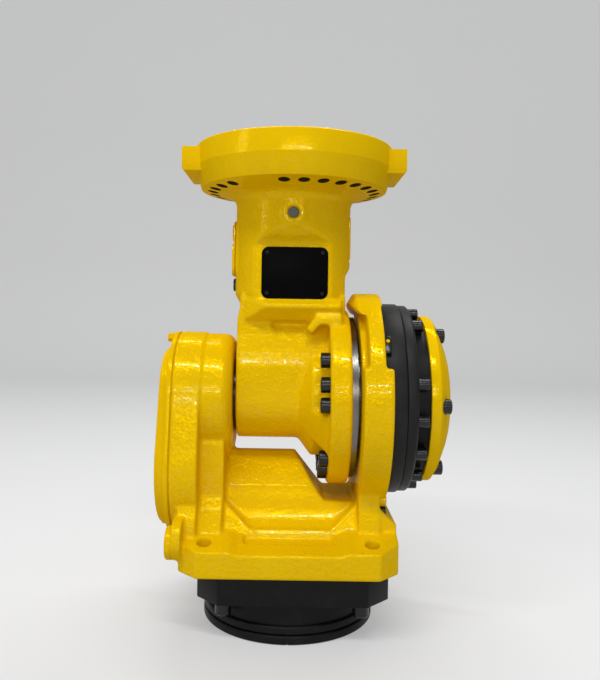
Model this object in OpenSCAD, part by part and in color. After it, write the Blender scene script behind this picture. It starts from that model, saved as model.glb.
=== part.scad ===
// Wrist unit of a six-axis robot arm, standing on its tool flange.
// Origin at the centre of the tool face, +Z along the tool axis into the wrist,
// +X along the bend axis towards the reducer, all lengths in millimetres.

/* [Tool flange] */
// Outer radius of the split clamp ring at the tool face
clamp_r = 84; // [80:0.5:88]
// Height of the split clamp ring
clamp_h = 8; // [6:0.5:10]
// Width of the slot in the split clamp ring
clamp_slot = 1.5; // [1:0.5:6]
// Outer radius of the seal ring above the clamp ring
seal_r = 83; // [80:0.5:88]
// Height of the groove between the two rings
ring_groove = 0.6; // [0.3:0.1:1.5]
// Radius of the flange body inside the two rings
flange_r = 72; // [70:0.5:76]
// Height of the flange body
flange_h = 16; // [14:0.5:18]
// Radius of the pilot recess in the tool face
pilot_r = 40; // [30:0.5:45]
// Depth of the pilot recess in the tool face
pilot_depth = 8; // [4:0.5:10]
// Radius of the tool bolt circle
tool_bolt_r = 62.5; // [58:0.5:64]
// Number of tool bolt holes
tool_bolt_count = 6; // [4:1:12]
// Radius of a tool bolt hole
tool_hole_r = 5; // [3:0.5:6]
// Depth of a tool bolt hole
tool_hole_depth = 13; // [8:0.5:14]
// Radius of the shaft that carries the flange in the wrist case
spigot_r = 50; // [40:0.5:56]
// Height of that shaft above the flange body
spigot_h = 14; // [8:0.5:17]

/* [Wrist case] */
// Radius of the round wrist case
case_r = 80; // [76:0.5:84]
// Height of the underside of the square plate above the tool face
plate_z = 36; // [34:0.5:40]
// Half width of the square plate
plate_half = 88; // [84:0.5:92]
// Offset of the square plate from the tool axis along X
plate_off = 4.5; // [0:0.5:6]
// Corner cut of the square plate
plate_chamfer = 21; // [5:0.5:30]
// Height of the underside of the yoke above the tool face
yoke_z = 62; // [56:0.5:68]

/* [Yoke base] */
// Half width of the yoke base along X
base_half_x = 100; // [96:0.5:106]
// Half depth of the yoke base along Y
base_half_y = 95; // [92:0.5:100]
// Corner cut of the yoke base
base_chamfer = 18; // [6:0.5:24]
// Height of the front edge of the yoke base between the corner pads
base_h = 21.5; // [16:0.5:22]
// Height of the corner pads above the ledge between them
pad_h = 2.5; // [2:0.5:5]
// Slope of ledge and pads towards the saddle in degrees
ledge_slope = 17; // [8:0.5:20]
// Distance of the upper end of the ledge from the middle
ledge_back = 60; // [58:0.5:64]
// Half width of the low ledge between two corner pads
ledge_half = 46; // [30:0.5:50]
// Length of the slope from ledge to pad
pad_slope = 7; // [3:0.5:14]
// Distance of the ledge holes from the side of the base
ledge_hole_in_x = 24; // [20:0.5:30]
// Distance of the ledge holes from the front of the base
ledge_hole_in_y = 16; // [13:0.5:21]
// Radius of a ledge hole
ledge_hole_r = 6.5; // [4:0.5:7]
// Half length of the trough in the ledge
trough_half = 41; // [20:0.5:42]
// Width of the trough in the ledge
trough_w = 14; // [8:0.5:16]
// Distance of the trough from the front of the base
trough_in = 25; // [22:0.5:26]
// Depth of the trough
trough_depth = 4; // [1:0.5:5]

/* [Yoke saddle] */
// Height of the bend axis above the tool face
axis_z = 215; // [212:0.5:222]
// Height of the saddle ridge under the hub
ridge_z = 160; // [150:0.5:161]
// Half width of the flat on the ridge
ridge_half = 5; // [2:0.5:8]
// Distance of the break of the saddle slope from the middle
break_y = 33; // [28:0.5:36]
// Height of the break of the saddle slope
break_z = 131; // [128:0.5:134]
// Distance of the foot of the break from the middle
foot_y = 37; // [34:0.5:42]
// Height of the foot of the break
foot_z = 119; // [114:0.5:122]
// Height of the ramps beside the column and the bearing arm
ramp_z = 119; // [112:0.5:122]
// Length of those ramps along X
ramp_len = 32; // [24:0.5:34]
// Right end of the saddle ridge
ridge_x = 5; // [0:0.5:8]
// Right end of the slanted end face
slant_x = 24; // [20:0.5:26]
// Height of the lower end of the slanted end face
slant_z = 131; // [126:0.5:132]
// Height of the floor below the trunk flange
floor_z = 118; // [112:0.5:121]

/* [Gear arm] */
// Radius of the gear case around the bend axis
gear_top_r = 63; // [60:0.5:68]
// Radius of the lower lobe of the gear case
gear_low_r = 73; // [68:0.5:76]
// Height of the centre of the lower lobe
gear_low_z = 150; // [146:0.5:156]
// Distance from the side of the base to the left face of the gear case
gear_out = 11; // [6:0.5:16]
// Width of the gear case along X
gear_w = 26; // [20:0.5:32]
// Thickness of the flange of the gear cover
cover_flange_t = 5; // [3:0.5:8]
// Height of the raised lobe of the gear cover
cover_lobe_t = 10; // [6:0.5:14]
// Step from the upper edge of the gear cover to its raised lobe
cover_top_step = 16.5; // [10:0.5:20]
// Step from the lower edge of the gear cover to its raised lobe
cover_low_step = 8.5; // [4:0.5:14]
// Width of the groove between gear cover and gear case
cover_seam = 0.8; // [0.4:0.1:1.5]
// Depth of that groove
cover_seam_depth = 1.6; // [0.8:0.1:3]
// Radius of a screw pocket in the gear cover
cover_pocket_r = 7; // [5:0.5:8]
// Depth of a screw pocket in the gear cover
cover_pocket_depth = 8; // [4:0.5:10]
// Distance of a screw pocket from the edge of the lobe
cover_pocket_in = 13; // [10:0.5:18]
// Edge break of the raised lobe
cover_break = 2.5; // [1:0.5:6]
// Radius of the boss that carries the hub
boss_r = 61.5; // [58:0.5:64]
// Inner face of the boss, measured from the tool axis
boss_x = 56; // [55:0.5:58]
// Edge radius of the boss
boss_round = 11; // [6:0.5:12]
// Half depth of the column under the boss
column_half = 50; // [44:0.5:54]
// Inner face of the column, measured from the tool axis
column_x = 62; // [60:0.5:66]
// Radius of the round cap low on the gear case
cap_r = 15; // [12:0.5:16]
// Radius of the boss that the round cap closes
cap_boss_r = 19; // [17:0.5:22]
// Distance of the round cap from the middle along Y
cap_y = 72; // [70:0.5:76]
// Height of the round cap above the tool face
cap_z = 87; // [84:0.5:92]
// Distance from the side of the base to the seat of the round cap
cap_out = 5.5; // [4:0.5:8]
// Length of the round cap
cap_len = 6; // [4:0.5:8]
// Rise of the boss above the middle of the round cap
cap_boss_up = 4; // [0:0.5:6]

/* [Bearing arm] */
// Radius of the ring of the bearing arm
arm_r = 104; // [101:0.5:108]
// Inner face of the bearing arm, measured from the tool axis
arm_x = 64.5; // [64:0.5:66]
// Width of the ring of the bearing arm
arm_w = 26.5; // [24:0.5:28]
// Inner face of the hook at the top of the ring
hook_x = 55; // [54.5:0.5:58]
// Set-back of the top of the hook from its tip
hook_slant = 6.5; // [4:0.5:9]
// Distance from the top of the ring to the underside of the hook at the arm
hook_under = 21; // [20.5:0.5:22]
// Rise of that underside from the arm to the tip
hook_rise = 10; // [8:0.5:11]
// Thickness of the ring over the outer rim windows
hook_over = 13; // [12:0.5:20]
// Outer face of the hook at the top of the ring
hook_out_x = 86; // [85:0.5:90]
// Height of the lower end of the rim windows above the bend axis
window_z = 35; // [28:0.5:45]
// Depth of the inner rim window
window_in = 5; // [2:0.5:8]
// Depth of the foot where the inner window ends below the top of the ring
window_rim = 20; // [14:0.5:20]
// Set-back of the waist below the ring from the front of the base
waist_in = 33; // [25:0.5:39]
// Width of the waist below the ring
waist_w = 20; // [16:0.5:22]
// Height of the top of the flare at the outer foot of the arm
flare_z = 117; // [110:0.5:120]
// Height of the end of the flare over the end of the base
flare_low_z = 103; // [98:0.5:106]

/* [Bend reducer] */
// Thickness of the rim of the bearing arm around the reducer case
arm_rim = 10; // [8:0.5:14]
// Depth of the seat of the reducer case in the bearing arm
reducer_seat = 7; // [4:0.5:10]
// Length of the reducer case outside the bearing arm
reducer_len = 13; // [10:0.5:16]
// Step from the reducer case to its bolted flange
reducer_step = 1.5; // [1:0.5:5]
// Thickness of the bolted flange of the reducer
reducer_flange_t = 10.5; // [8:0.5:14]
// Edge break of the reducer case and its flange
reducer_break = 0.8; // [0.4:0.1:2]
// Angle of the small lug on the reducer case from the top
lug_angle = 55; // [50:0.5:58]
// Length of that lug along the rim
rim_lug_w = 18; // [10:0.5:20]
// Thickness of that lug along X
rim_lug_t = 5.5; // [3:0.5:6.5]
// Height of that lug above the reducer case
rim_lug_h = 4; // [2:0.5:6]
// Step from the bolted flange to the neck between reducer and end cap
retainer_in = 14.5; // [12:0.5:20]
// Length of the neck between reducer and end cap
retainer_len = 13; // [10:0.5:16]
// Step from that neck to the rim of the end cap
cap_over = 4; // [2:0.5:8]
// Length of the straight rim of the end cap
cap_rim = 8.5; // [6:0.5:12]
// Length of the domed part of the end cap
cap_dome = 15; // [10:0.5:18]
// Distance from the rim of the end cap to its flat end
cap_bevel = 32; // [26:0.5:40]
// Distance from the rim of the end cap to the bolts in it
cap_bolt_in = 9; // [8:0.5:11]
// Radius of the spot face of an end cap bolt
cap_spot_r = 7.5; // [6:0.5:9]
// Number of end cap bolts
cap_bolt_count = 6; // [4:1:8]

/* [Trunk] */
// Radius of the hub on the bend axis
hub_r = 42; // [38:0.5:43]
// Left face of the hub, measured from the tool axis
hub_x = 53; // [51:0.5:54]
// Height of the straight front of the hub above the bend axis
hub_front = 18; // [10:0.5:24]
// Height of the edge on top of the hub above the bend axis
crease_z = 66; // [60:0.5:70]
// Distance of that edge from the middle
crease_y = 33; // [28:0.5:38]
// Left end of the cone between hub and flange
web_x = 6; // [0:0.5:12]
// Step from the trunk flange to the cone that meets it
web_in = 6.5; // [4:0.5:9]
// Inner radius of the screw pockets in that cone
pocket_r = 59; // [56:0.5:62]
// Left end of the screw pockets
pocket_x = 19.5; // [18:0.5:24]
// Lower end of the front screw pocket in degrees above the front
pocket_from = -8; // [-12:1:-4]
// Upper end of the front screw pocket in degrees above the front
pocket_to = 78; // [60:1:84]
// Upper end of the lower screw pocket in degrees above the front
pocket_under = -38; // [-44:1:-32]
// Height of the underside of the hood over the screws above the bend axis
hood_z = 72.5; // [68:0.5:76]
// Thickness of the hood over the screws
hood_t = 9.5; // [6:0.5:12]
// Right end of the hood
hood_x = 48; // [42:0.5:50]
// Distance of the front of the hood from the middle
hood_y = 50; // [48:0.5:52]
// Gap between the trunk flange and the tip of the hook over it
hook_gap = 6.5; // [4:0.5:9]
// Left face of the trunk flange
trunk_x = 36; // [34:0.5:40]
// Thickness of the trunk flange
trunk_t = 20; // [15:0.5:21]
// Radius of the neck
neck_r = 57.5; // [55:0.5:58]
// Height of the lower end of the straight neck above the bend axis
neck_z = 101; // [98:0.5:106]
// Height of the lip under the neck above the bend axis
lip_z = 89.5; // [86:0.5:93]
// Reduction of the radius from neck to lip
lip_in = 6.5; // [4:0.5:9]
// Height of the lower end of the slope under the lip above the bend axis
scoop_z = 67; // [64:0.5:72]
// Radius of the lower end of the slope under the lip
scoop_r = 18; // [12:0.5:26]
// Right side of the neck beside the bearing arm
neck_step_x = 51.5; // [50:0.5:54]
// Height of the step on the right side above the bend axis
neck_step_z = 120; // [116:0.5:126]
// Height of the slope of that step
neck_step_h = 9; // [4:0.5:12]
// Height of the pinch on the left side above the bend axis
pinch_z = 89; // [84:0.5:94]
// Left side of the neck at the pinch
pinch_x = 50.5; // [46:0.5:52]
// Height of the slope on each side of the pinch
pinch_h = 12.5; // [8:0.5:16]
// Right end of the gusset on the left of the scoop
gusset_x = 15; // [10:0.5:20]
// Set-back of that gusset behind the flat front of the neck
gusset_in = 9; // [6:0.5:11]
// Height of the joint between neck and mounting flange
mount_z = 414.5; // [412:0.5:418]
// Step from the neck to the collar under the mounting flange
collar_out = 4.5; // [2.5:0.5:8.5]
// Height of the collar
collar_h = 8; // [5:0.5:14]
// Depth of the flat front of the neck
flat_depth = 13.5; // [11:0.5:14]
// Height of the lower edge of the flat front
flat_low_z = 310.5; // [309:0.5:312]
// Height of the upper edge of the flat front
flat_high_z = 365; // [363:0.5:368]
// Slope of the bevel under the flat front
flat_bevel = 0.85; // [0.6:0.05:1.2]
// Set-back of the front of the shelf under the flat from the neck radius
shelf_in = 6; // [5:0.5:8]
// Drop of the front edge of that shelf below the flat
shelf_drop = 4; // [3:0.5:6]
// Thickness of the front edge of that shelf
shelf_t = 3; // [2:0.5:5]
// Left end of the straight front edge of that shelf along X
shelf_left = 24; // [18:0.5:30]
// Right end of that shelf along X
shelf_right = 47; // [44:0.5:50]
// Height of the shaded part of the brow over the flat front
brow_low = 8; // [5:0.5:10]
// Height of the upper part of the brow
brow_high = 9; // [6:0.5:12]

/* [Neck fittings] */
// Width of the blank plate on the front pad
plate_w = 63.5; // [50:0.5:66]
// Height of the blank plate
plate_tall = 49.5; // [40:0.5:50]
// Thickness of the blank plate
plate_t = 1.2; // [0.8:0.1:2]
// Corner radius of the blank plate
plate_corner = 7; // [2:0.5:10]
// Sideways place of the blank plate
plate_x = 2; // [0:0.5:4]
// Height of the middle of the blank plate
plate_mid_z = 336.5; // [335.5:0.5:337.5]
// Radius of the round plug above the blank plate
plug_r = 5; // [3:0.5:7]
// Radius of the boss of the round plug
plug_boss_r = 11.5; // [9:0.5:13]
// Distance of the boss of the round plug from the neck
plug_boss_out = 0.4; // [0.2:0.1:1]
// Height of the round plug
plug_z = 392.5; // [391:0.5:396]
// Length of the plug outside its boss
plug_out = 1.2; // [0.6:0.1:2]
// Half width of the left cover on the neck
side_half = 20; // [16:0.5:26]
// Height of the lower edge of the left cover
side_low_z = 335; // [332:0.5:340]
// Height of the upper edge of the left cover
side_high_z = 366.5; // [360:0.5:368]
// Thickness of the left cover
side_t = 2.6; // [1.5:0.1:3]
// Radius of the knob above the left cover
knob_r = 8; // [6:0.5:9]
// Height of the middle of that knob
knob_z = 378.5; // [376:0.5:382]
// Length of that knob outside the neck
knob_t = 3.3; // [2:0.1:4]
// Thickness of the foot that carries cover and knob
side_foot = 1; // [0.6:0.1:1.4]
// Half width of the right cover on the neck
sunk_half = 15; // [10:0.5:16]
// Height of the lower edge of the right cover
sunk_low_z = 352; // [346:0.5:356]
// Height of the upper edge of the right cover
sunk_high_z = 396; // [390:0.5:402]
// Depth of the seat of the right cover in the neck
sunk_depth = 2.8; // [2.5:0.1:4]
// Thickness of the right cover
sunk_t = 2.4; // [1.5:0.1:2.4]
// Play of the right cover in its seat
sunk_clear = 0.5; // [0.3:0.1:1]

/* [Mounting flange] */
// Outer radius of the mounting flange
mount_r = 98.5; // [96:0.5:102]
// Radius of its lower edge
mount_low_r = 93; // [90:0.5:95]
// Rise of its underside from the joint to the lower edge
mount_rise = 6.5; // [3:0.5:9]
// Height of the break in its rim above the joint
mount_break = 26.5; // [20:0.5:30]
// Overall height of the mounting flange
mount_h = 47.5; // [42:0.5:50]
// Distance of the end of a lug from the arm axis
lug_x = 108.5; // [106:0.5:112]
// Half width of a lug
lug_half = 38; // [30:0.5:42]
// Lower corner cut of a lug
lug_chamfer = 2; // [1:0.5:6]
// Height of the lug above the joint
lug_low = 20; // [16:0.5:24]
// Drop of the top of a lug below the arm face
lug_drop = 4.5; // [2:0.5:8]
// Radius of the arm bolt circle
mount_bolt_r = 81; // [79:0.5:84]
// Number of positions on the arm bolt circle
mount_positions = 28; // [24:1:30]
// Radius of an arm bolt hole
mount_hole_r = 5.5; // [3:0.5:6]
// Radius of the pilot recess of the arm face
mount_pilot_r = 60; // [50:0.5:70]
// Depth of the pilot recess of the arm face
mount_pilot_depth = 6; // [3:0.5:10]

/* [Bearings] */
// Step from the trunk flange to the steel output ring of the reducer
output_in = 6.5; // [4.5:0.5:8.5]
// Radius of its shaft in the bearing arm
output_shaft_r = 60; // [50:0.5:66]
// Distance of the output ring from the bearing arm
output_gap = 3; // [1:0.5:4]
// Radius of the steel shoulder between hub and boss
shoulder_r = 36; // [33:0.5:40]
// Radius of the journal in the boss
journal_r = 30; // [24:0.5:32]
// Length of the journal in the boss
journal_len = 20; // [12:0.5:24]
// Radial clearance of the two shafts in their bores
run_clear = 0.05; // [0.02:0.01:0.1]
// Axial clearance between pieces that turn on each other
face_clear = 0.3; // [0.2:0.1:0.6]

/* [Hidden] */
$fn = 96;
yellow = [0.95, 0.76, 0.02];
black = [0.1, 0.1, 0.11];
steel = [0.72, 0.72, 0.7];
grey = [0.38, 0.39, 0.36];
collar_r = neck_r + collar_out;
ledge_hole_x = base_half_x - ledge_hole_in_x;
ledge_hole_y = base_half_y - ledge_hole_in_y;
trough_y = base_half_y - trough_in;
waist_half = base_half_y - waist_in;
gear_x = base_half_x + gear_out;
hook_low = arm_r - hook_under;
hook_tip = hook_low + hook_rise;
hook_z = arm_r - hook_over;
window_r = arm_r - window_rim;
trunk_r = hook_tip - hook_gap;
web_r = trunk_r - web_in;
output_r = trunk_r - output_in;
reducer_r = arm_r - arm_rim;
reducer_flange_r = reducer_r - reducer_step;
retainer_r = reducer_flange_r - retainer_in;
cap_disc_r = retainer_r + cap_over;
cap_bolt_r = cap_disc_r - cap_bolt_in;
cap_flat_r = cap_disc_r - cap_bevel;
ledge_z = yoke_z + base_h;
pad_z = ledge_z + pad_h;
arm_out_x = arm_x + arm_w;
reducer_in_x = arm_out_x - reducer_seat;
reducer_out_x = arm_out_x + reducer_len;
flange_out_x = reducer_out_x + reducer_flange_t;
retainer_out_x = flange_out_x + retainer_len;
trunk_out_x = trunk_x + trunk_t;
output_x = arm_x - output_gap;
spigot_top = flange_h + spigot_h;
mount_top = mount_z + mount_h;
flat_y = neck_r - flat_depth;
gusset_y = flat_y - gusset_in;
shelf_y = neck_r - shelf_in;
lobe_x = gear_x + cover_flange_t;
lobe_top_r = gear_top_r - cover_top_step;
lobe_low_r = gear_low_r - cover_low_step;
cap_x = base_half_x + cap_out;
plug_face = neck_r + plug_boss_out;
run = base_half_y - ledge_back;
rise = run * tan(ledge_slope);
hood_low = axis_z + hood_z;
mount_step = 360 / mount_positions;
eps = 0.01;
flank_bite = 0.12;

// solid of revolution about the tool axis, from [radius, height] points
module turned_z(points) {
    rotate_extrude() polygon(points);
}

// solid of revolution about the bend axis, from [radius, x] points
module turned_x(points) {
    translate([0, 0, axis_z]) rotate([0, 90, 0]) rotate_extrude() polygon(points);
}

// outline in Y and Z swept along X
module along_x(x0, x1) {
    translate([x0, 0, 0]) rotate([90, 0, 90]) linear_extrude(height = x1 - x0) children();
}

// outline in X and Z swept along Y
module along_y(y0, y1) {
    translate([0, y1, 0]) rotate([90, 0, 0]) linear_extrude(height = y1 - y0) children();
}

// round bar along X at a place in Y and Z
module bar_x(r, x0, x1, y, z) {
    translate([x0, y, z]) rotate([0, 90, 0]) cylinder(r = r, h = x1 - x0);
}

// round bar along Y at a place in X and Z
module bar_y(r, y0, y1, x, z) {
    translate([x, y1, z]) rotate([90, 0, 0]) cylinder(r = r, h = y1 - y0);
}

// rectangle with its corners cut off
module cut_rect(hx, hy, c) {
    polygon([
        [-hx + c, -hy], [hx - c, -hy], [hx, -hy + c], [hx, hy - c],
        [hx - c, hy], [-hx + c, hy], [-hx, hy - c], [-hx, -hy + c]
    ]);
}

// rectangle with round corners
module round_rect(w, h, r) {
    square([w - 2 * r, h], center = true);
    square([w, h - 2 * r], center = true);
    for (sx = [-1, 1], sy = [-1, 1])
        translate([sx * (w / 2 - r), sy * (h / 2 - r)]) circle(r = r);
}

// outline around two circles on the Z axis of a profile, with flanks that cut into both a little
module drop(ra, za, rb, zb) {
    nz = (rb - ra) / (za - zb);
    ny = sqrt(1 - nz * nz);
    ia = ra - flank_bite;
    ib = rb - flank_bite;
    translate([0, za]) circle(r = ra);
    translate([0, zb]) circle(r = rb);
    polygon([
        [-ia * ny, za + ia * nz], [-ib * ny, zb + ib * nz],
        [ib * ny, zb + ib * nz], [ia * ny, za + ia * nz]
    ]);
}

// points of a curve from a to c that bends towards b
function curve(a, b, c, n) =
    [for (i = [0 : n]) let (t = i / n) (1 - t) * (1 - t) * a + 2 * t * (1 - t) * b + t * t * c];

// the same points on the other side, in reverse order
function mirrored(points) =
    [for (i = [len(points) - 1 : -1 : 0]) [-points[i][0], points[i][1]]];

// points of a round corner of a turned profile
function corner(cr, cx, r, a0, a1, n) =
    [for (i = [0 : n]) let (a = a0 + (a1 - a0) * i / n) [cr + r * cos(a), cx + r * sin(a)]];

module output_flange() {
    color(black)
    difference() {
        turned_z([
            [0, pilot_depth], [pilot_r, pilot_depth], [pilot_r, 0], [flange_r, 0],
            [flange_r, flange_h], [spigot_r, flange_h], [spigot_r, spigot_top], [0, spigot_top]
        ]);
        for (i = [0 : tool_bolt_count - 1])
            rotate([0, 0, i * 360 / tool_bolt_count])
                translate([tool_bolt_r, 0, -eps])
                    cylinder(r = tool_hole_r, h = tool_hole_depth + eps);
    }
}

module clamp_ring() {
    color(black)
    difference() {
        turned_z([
            [flange_r, 0], [clamp_r - 1, 0], [clamp_r, 1],
            [clamp_r, clamp_h - 1], [clamp_r - 1, clamp_h], [flange_r, clamp_h]
        ]);
        translate([-clamp_slot / 2, -clamp_r - 1, -1])
            cube([clamp_slot, clamp_r - flange_r + 6, clamp_h + 2]);
    }
}

module seal_ring() {
    color(black)
    turned_z([
        [flange_r, clamp_h + ring_groove], [seal_r - 1, clamp_h + ring_groove],
        [seal_r, clamp_h + ring_groove + 1], [seal_r, flange_h - 1],
        [seal_r - 1, flange_h], [flange_r, flange_h]
    ]);
}

module wrist_case() {
    color(black)
    turned_z([
        [spigot_r + run_clear, flange_h + face_clear], [case_r, flange_h + face_clear],
        [case_r, plate_z], [0, plate_z], [0, spigot_top + face_clear],
        [spigot_r + run_clear, spigot_top + face_clear]
    ]);
}

module square_plate() {
    color(black)
    translate([plate_off, 0, plate_z])
        linear_extrude(height = yoke_z - plate_z)
            cut_rect(plate_half, plate_half, plate_chamfer);
}

// base of the yoke with four raised corner pads, rising towards the saddle
module base_block() {
    difference() {
        intersection() {
            translate([0, 0, yoke_z])
                linear_extrude(height = pad_z + rise - yoke_z)
                    cut_rect(base_half_x, base_half_y, base_chamfer);
            along_x(-base_half_x - 1, base_half_x + 1)
                polygon([
                    [-base_half_y, yoke_z], [base_half_y, yoke_z], [base_half_y, pad_z],
                    [ledge_back, pad_z + rise], [-ledge_back, pad_z + rise], [-base_half_y, pad_z]
                ]);
        }
        for (a = [0, 180]) rotate([0, 0, a]) ledge_cut();
    }
}

// low ledge between two pads, with its trough
module ledge_cut() {
    deep = run / cos(ledge_slope);
    trough = (base_half_y - trough_y) / cos(ledge_slope);
    translate([0, -base_half_y, ledge_z]) rotate([ledge_slope, 0, 0]) {
        along_y(-base_chamfer, deep)
            polygon([
                [-ledge_half, 0], [ledge_half, 0], [ledge_half + 3 * pad_slope, 3 * pad_h],
                [-ledge_half - 3 * pad_slope, 3 * pad_h]
            ]);
        translate([-trough_half, trough - trough_w / 2, -trough_depth])
            cube([2 * trough_half, trough_w, trough_depth + 1]);
    }
}

// saddle between the two arms, hollowed towards the ledges
module saddle() {
    low = ledge_z + rise;
    front = concat(
        [[-ledge_back, yoke_z + 5]],
        curve([-ledge_back, low], [-foot_y - 7, low + 5], [-foot_y, foot_z], 4),
        [[-break_y, break_z], [-ridge_half, ridge_z]]
    );
    intersection() {
        along_x(-gear_x + gear_w / 2, arm_x + waist_w / 2) polygon(concat(front, mirrored(front)));
        along_y(-ledge_back - 1, ledge_back + 1)
            polygon([
                [-gear_x, yoke_z], [-gear_x, ridge_z + 1], [ridge_x, ridge_z + 1],
                [ridge_x, ridge_z], [slant_x, slant_z], [slant_x + 10, floor_z],
                [arm_out_x, floor_z], [arm_out_x, yoke_z]
            ]);
    }
    intersection() {
        along_x(-column_x - 1, arm_x + 1)
            polygon([
                [-ledge_back - 4, low - 2], [-break_y - 12, ramp_z + 2],
                [break_y + 12, ramp_z + 2], [ledge_back + 4, low - 2]
            ]);
        along_y(-ledge_back - 5, ledge_back + 5)
            polygon([
                [-column_x - 1, yoke_z + 5], [-column_x - 1, ramp_z], [-column_x, ramp_z],
                [-column_x + ramp_len, low - 2], [arm_x - ramp_len, low - 2],
                [arm_x, ramp_z], [arm_x + 1, ramp_z], [arm_x + 1, yoke_z + 5]
            ]);
    }
}

// gear case, column and hub boss on the left
module gear_arm() {
    low = ledge_z + rise;
    along_x(-gear_x, -gear_x + gear_w) drop(gear_top_r, axis_z, gear_low_r, gear_low_z);
    along_x(-base_half_x - 3, -gear_x + gear_w)
        polygon([
            [-ledge_back - 16, ledge_z], [-ledge_back - 15, low + 9], [-ledge_back - 5, low + 26],
            [-ledge_back, gear_low_z - 10], [ledge_back, gear_low_z - 10], [ledge_back + 5, low + 26],
            [ledge_back + 15, low + 9], [ledge_back + 16, ledge_z]
        ]);
    along_x(-gear_x + gear_w - 1, -column_x)
        polygon([
            [-column_half - 20, low - 2], [-column_half - 9, low + 20], [-column_half, low + 30],
            [-column_half, axis_z - 40], [column_half, axis_z - 40], [column_half, low + 30],
            [column_half + 9, low + 20], [column_half + 20, low - 2]
        ]);
    turned_x(concat(
        [[0, -gear_x + 1], [boss_r, -gear_x + 1], [boss_r, -boss_x - boss_round]],
        corner(boss_r - boss_round, -boss_x - boss_round, boss_round, 0, 90, 6),
        [[0, -boss_x]]
    ));
    bar_x(cap_boss_r, -cap_x, -base_half_x + 4, -cap_y, cap_z + cap_boss_up);
}

// ring plate, hook and waist on the right
module bearing_arm() {
    tip = hook_tip;
    difference() {
        turned_x([
            [0, hook_x], [tip, hook_x], [arm_r, hook_x + hook_slant], [arm_r, arm_out_x], [0, arm_out_x]
        ]);
        along_y(-arm_r - 1, arm_r + 1)
            polygon([
                [hook_x - 1, axis_z - arm_r - 1], [hook_x - 1, axis_z + tip], [hook_x, axis_z + tip],
                [arm_x, axis_z + hook_low], [arm_x, axis_z - arm_r - 1]
            ]);
        along_x(hook_x - 1, arm_x + window_in) rim_window(hook_low);
        along_x(reducer_in_x, arm_out_x + 1) rim_window(hook_z);
        along_x(hook_out_x, arm_out_x + 1)
            translate([-arm_r - 1, axis_z + hook_z - eps]) square([2 * arm_r + 2, arm_r]);
    }
    along_x(arm_x, arm_x + waist_w)
        polygon([
            [-waist_half - 8, yoke_z + 5], [waist_half + 8, yoke_z + 5],
            [waist_half, floor_z], [waist_half, axis_z - output_shaft_r],
            [-waist_half, axis_z - output_shaft_r], [-waist_half, floor_z]
        ]);
    along_y(-waist_half, waist_half)
        polygon([
            [arm_x, yoke_z + 5], [base_half_x, yoke_z + 5], [base_half_x, flare_low_z],
            [arm_x + waist_w, flare_z], [arm_x, flare_z]
        ]);
}

// openings in the rim of the bearing arm, in front and behind
module rim_window(top) {
    difference() {
        translate([-arm_r - 1, axis_z + window_z]) square([2 * arm_r + 2, top - window_z]);
        translate([0, axis_z]) circle(r = window_r);
    }
}

module yoke_casting() {
    color(yellow)
    difference() {
        union() {
            base_block();
            saddle();
            gear_arm();
            bearing_arm();
        }
        for (sx = [-1, 1], sy = [-1, 1])
            translate([sx * ledge_hole_x, sy * ledge_hole_y, yoke_z - 1])
                cylinder(r = ledge_hole_r, h = base_h + pad_h + 40);
        turned_x([
            [0, hook_x - 2], [output_shaft_r + run_clear, hook_x - 2],
            [output_shaft_r + run_clear, reducer_in_x], [reducer_r, reducer_in_x],
            [reducer_r, arm_out_x + 1], [0, arm_out_x + 1]
        ]);
        bar_x(journal_r + run_clear, -boss_x - journal_len - face_clear, -boss_x + 1, 0, axis_z);
    }
}

module gear_cover() {
    out_x = lobe_x + cover_lobe_t;
    low_y = lobe_low_r - cover_pocket_in;
    top_y = lobe_top_r - cover_pocket_in;
    color(yellow)
    difference() {
        union() {
            along_x(-gear_x - cover_seam, -gear_x)
                drop(gear_top_r - cover_seam_depth, axis_z, gear_low_r - cover_seam_depth, gear_low_z);
            along_x(-lobe_x, -gear_x - cover_seam) drop(gear_top_r, axis_z, gear_low_r, gear_low_z);
            along_x(-out_x + cover_break, -lobe_x + eps)
                drop(lobe_top_r, axis_z, lobe_low_r, gear_low_z);
            along_x(-out_x, -lobe_x)
                drop(lobe_top_r - cover_break, axis_z, lobe_low_r - cover_break, gear_low_z);
        }
        for (at = [
            [0, axis_z + top_y], [-top_y, axis_z], [top_y, axis_z],
            [-low_y, gear_low_z], [low_y, gear_low_z], [0, gear_low_z - low_y]
        ])
            bar_x(cover_pocket_r, -out_x - 1, -out_x + cover_pocket_depth, at[0], at[1]);
    }
}

module round_cap() {
    color(yellow)
    union() {
        bar_x(cap_r, -cap_x - cap_len + 1, -cap_x, -cap_y, cap_z);
        bar_x(cap_r - 1, -cap_x - cap_len, -cap_x, -cap_y, cap_z);
    }
}

module reducer_case() {
    color(black)
    turned_x([
        [output_shaft_r + run_clear, reducer_in_x], [reducer_r, reducer_in_x],
        [reducer_r, reducer_out_x - reducer_break],
        [reducer_r - reducer_break, reducer_out_x], [0, reducer_out_x],
        [0, arm_out_x], [output_shaft_r + run_clear, arm_out_x]
    ]);
}

module reducer_flange() {
    color(black)
    turned_x([
        [0, reducer_out_x], [reducer_flange_r - reducer_break, reducer_out_x],
        [reducer_flange_r, reducer_out_x + reducer_break],
        [reducer_flange_r, flange_out_x - 2], [reducer_flange_r - 2, flange_out_x],
        [0, flange_out_x]
    ]);
}

module cap_retainer() {
    color(black)
    turned_x([
        [0, flange_out_x], [retainer_r, flange_out_x],
        [retainer_r, retainer_out_x], [0, retainer_out_x]
    ]);
}

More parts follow.
